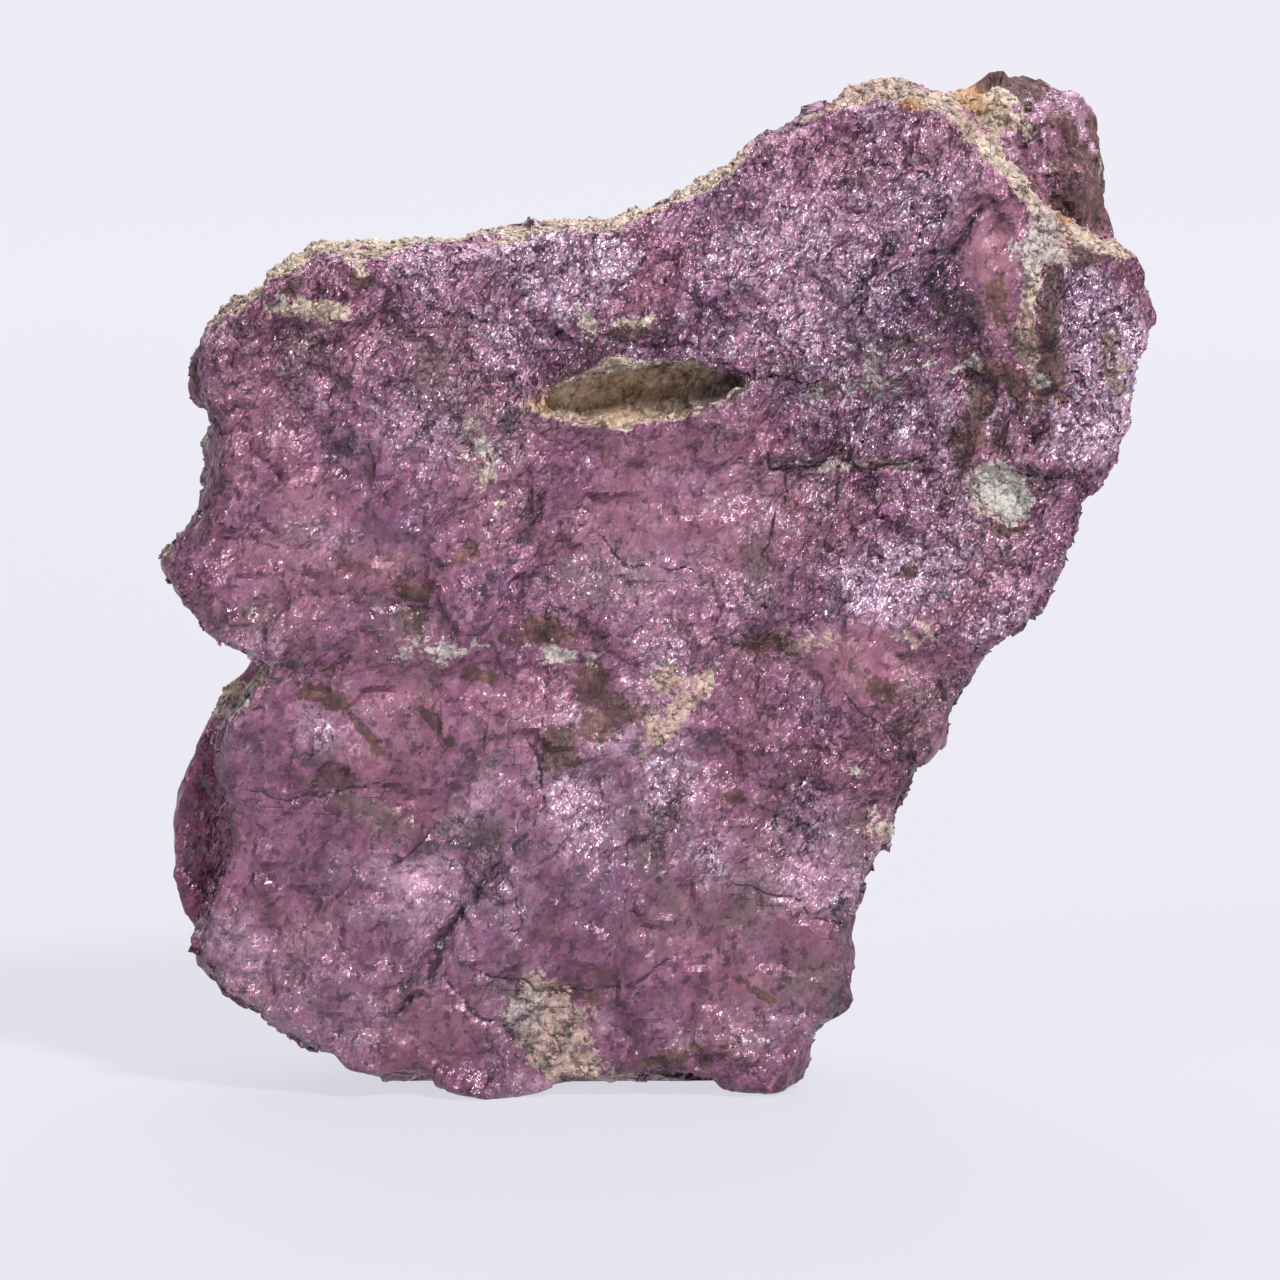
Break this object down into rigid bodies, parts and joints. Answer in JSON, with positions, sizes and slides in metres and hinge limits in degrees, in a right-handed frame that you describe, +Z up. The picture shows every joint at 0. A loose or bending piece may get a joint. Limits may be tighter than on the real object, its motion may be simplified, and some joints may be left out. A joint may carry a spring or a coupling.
{
  "type": "purpurite specimen",
  "caption": "Hand-size cleavage block of purple purpurite with a pale granular vein and a rough lump at one upper corner, standing on a small flat spot of its lower edge.",
  "frame": {"origin": "middle of the block's bounding box in X and Y, on the surface that it rests on", "axes": "+Z up, -Y out of the broad cleavage face, +X to the right when that face is looked at"},
  "size_m": [0.0576, 0.0218, 0.0592],
  "materials": {
    "purpurite": "broken cleavage with a silky to submetallic glint, purple with brown stains and pale grey-cream matrix"
  },
  "bodies": {
    "root": {"purpurite_block": "purpurite"}
  },
  "joints": []
}
